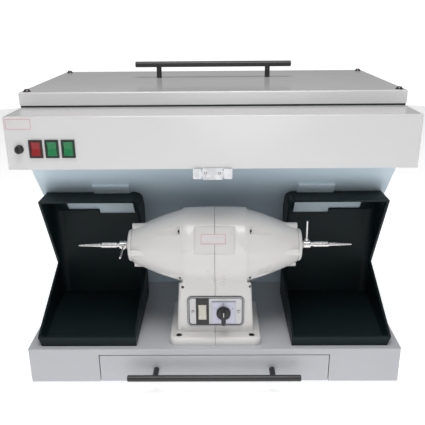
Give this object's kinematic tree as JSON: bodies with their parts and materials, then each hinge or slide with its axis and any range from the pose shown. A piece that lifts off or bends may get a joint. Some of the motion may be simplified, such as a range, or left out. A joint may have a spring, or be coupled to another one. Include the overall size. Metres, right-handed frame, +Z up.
{
  "type": "double-ended polishing lathe with extraction cabinet",
  "caption": "Bench polishing lathe: twin tapered spindles on a pedestal motor, two black hoods, drawer base and dust-extraction cabinet with lift-off filter lid.",
  "frame": {"origin": "on the floor under the centre of the whole machine", "axes": "+X to the operator's right along the spindles, -Y towards the operator, +Z up"},
  "size_m": [0.7, 0.507, 0.574],
  "materials": {
    "white_gloss": "gloss powder coat",
    "panel_grey": "satin powder coat",
    "base_grey": "satin powder coat",
    "cast_cream": "satin enamel on casting",
    "hood_black": "fine texture",
    "black_plastic": "satin",
    "black_gloss": "gloss",
    "rubber_black": "matt",
    "lamp_cover": "opal",
    "steel_polished": "polished",
    "steel_brushed": "brushed",
    "plated_screw": "zinc plated",
    "black_steel": "satin black",
    "galvanised": "galvanised sheet",
    "lilac_plate": "printed aluminium",
    "rocker_red": "translucent gloss",
    "rocker_green": "translucent gloss",
    "rocker_cream": "gloss",
    "label_white": "film",
    "filter_media": "pleated paper",
    "copper_iron": "laminated steel"
  },
  "bodies": {
    "root": {"base_box": "base_grey", "bearings": "steel_polished", "bell_left": "cast_cream", "bell_right": "cast_cream", "blank_labels": "label_white", "cabinet_shell": "panel_grey", "cam_switch_body": "black_plastic", "cap_left": "cast_cream", "cap_right": "cast_cream", "catch_bracket": "galvanised", "drawer_runners": "galvanised", "fan_motor": "copper_iron", "fan_scroll": "galvanised", "filter_cassette": "filter_media", "fuse_holder": "black_plastic", "hood_brackets": "galvanised", "hood_left": "hood_black", "hood_right": "hood_black", "lamp_covers": "lamp_cover", "lamp_strips": "label_white", "lamp_trays": "galvanised", "motor_screws": "plated_screw", "outlet_grille": "galvanised", "power_inlet": "black_plastic", "rocker_bezels": "black_plastic", "rubber_feet": "rubber_black", "sloping_panel": "panel_grey", "small_screws": "plated_screw", "speed_dial_plate": "lilac_plate", "stand_bolts": "black_steel", "stand_left": "cast_cream", "stand_right": "cast_cream", "start_switch_body": "black_plastic", "stator": "copper_iron", "switch_plate": "steel_brushed", "upper_housing": "white_gloss"},
    "drawer": {"drawer_front": "base_grey", "drawer_tray": "galvanised", "drawer_bar": "black_steel", "drawer_posts": "black_steel"},
    "lid": {"lid_shell": "white_gloss", "lid_gasket": "rubber_black", "lid_bar": "black_steel", "lid_posts": "black_steel", "lid_screws": "black_gloss"},
    "rotor": {"motor_shaft": "steel_polished", "rotor_core": "copper_iron", "spindle_left": "steel_polished", "spindle_right": "steel_polished"},
    "release_left": {"collar_left": "steel_polished", "lever_left": "steel_polished"},
    "release_right": {"collar_right": "steel_polished", "lever_right": "steel_polished"},
    "impeller": {"fan_impeller": "galvanised"},
    "knob": {"speed_knob": "black_plastic"},
    "start_key": {"start_rocker": "rocker_cream"},
    "on_key": {"rocker_on": "rocker_red"},
    "light_key": {"rocker_light": "rocker_green"},
    "suction_key": {"rocker_suction": "rocker_green"},
    "fuse": {"fuse_cap": "black_plastic"}
  },
  "joints": [
    {"name": "drawer_slide", "type": "slide", "parent": "root", "child": "drawer", "axis": [0, -1, 0], "range_m": [0, 0.24]},
    {"name": "lid_lift", "type": "slide", "parent": "root", "child": "lid", "axis": [0, 0, 1], "range_m": [0, 0.12]},
    {"name": "spindle_spin", "type": "hinge", "parent": "root", "child": "rotor", "pos_m": [0.0025, -0.1325, 0.2539], "axis": [1, 0, 0], "continuous": true},
    {"name": "impeller_spin", "type": "hinge", "parent": "root", "child": "impeller", "pos_m": [0, 0.1555, 0.188], "axis": [0, 0, 1], "continuous": true},
    {"name": "release_left_turn", "type": "hinge", "parent": "root", "child": "release_left", "pos_m": [-0.172, -0.1325, 0.2539], "axis": [1, 0, 0], "range_deg": [-97, 0]},
    {"name": "release_right_turn", "type": "hinge", "parent": "root", "child": "release_right", "pos_m": [0.177, -0.1325, 0.2539], "axis": [1, 0, 0], "range_deg": [0, 97]},
    {"name": "speed_turn", "type": "hinge", "parent": "root", "child": "knob", "pos_m": [0.0183, -0.1895, 0.137], "axis": [0, -1, 0], "range_deg": [-60, 60]},
    {"name": "start_rock", "type": "hinge", "parent": "root", "child": "start_key", "pos_m": [-0.0215, -0.1851, 0.1392], "axis": [1, 0, 0], "range_deg": [-7, 7]},
    {"name": "on_rock", "type": "hinge", "parent": "root", "child": "on_key", "pos_m": [-0.2983, -0.1967, 0.4583], "axis": [1, 0, 0], "range_deg": [-7, 7]},
    {"name": "light_rock", "type": "hinge", "parent": "root", "child": "light_key", "pos_m": [-0.2709, -0.1967, 0.4583], "axis": [1, 0, 0], "range_deg": [-7, 7]},
    {"name": "suction_rock", "type": "hinge", "parent": "root", "child": "suction_key", "pos_m": [-0.2433, -0.1967, 0.4583], "axis": [1, 0, 0], "range_deg": [-7, 7]},
    {"name": "fuse_turn", "type": "hinge", "parent": "root", "child": "fuse", "pos_m": [-0.3261, -0.2025, 0.458], "axis": [0, -1, 0], "range_deg": [0, 90]}
  ]
}
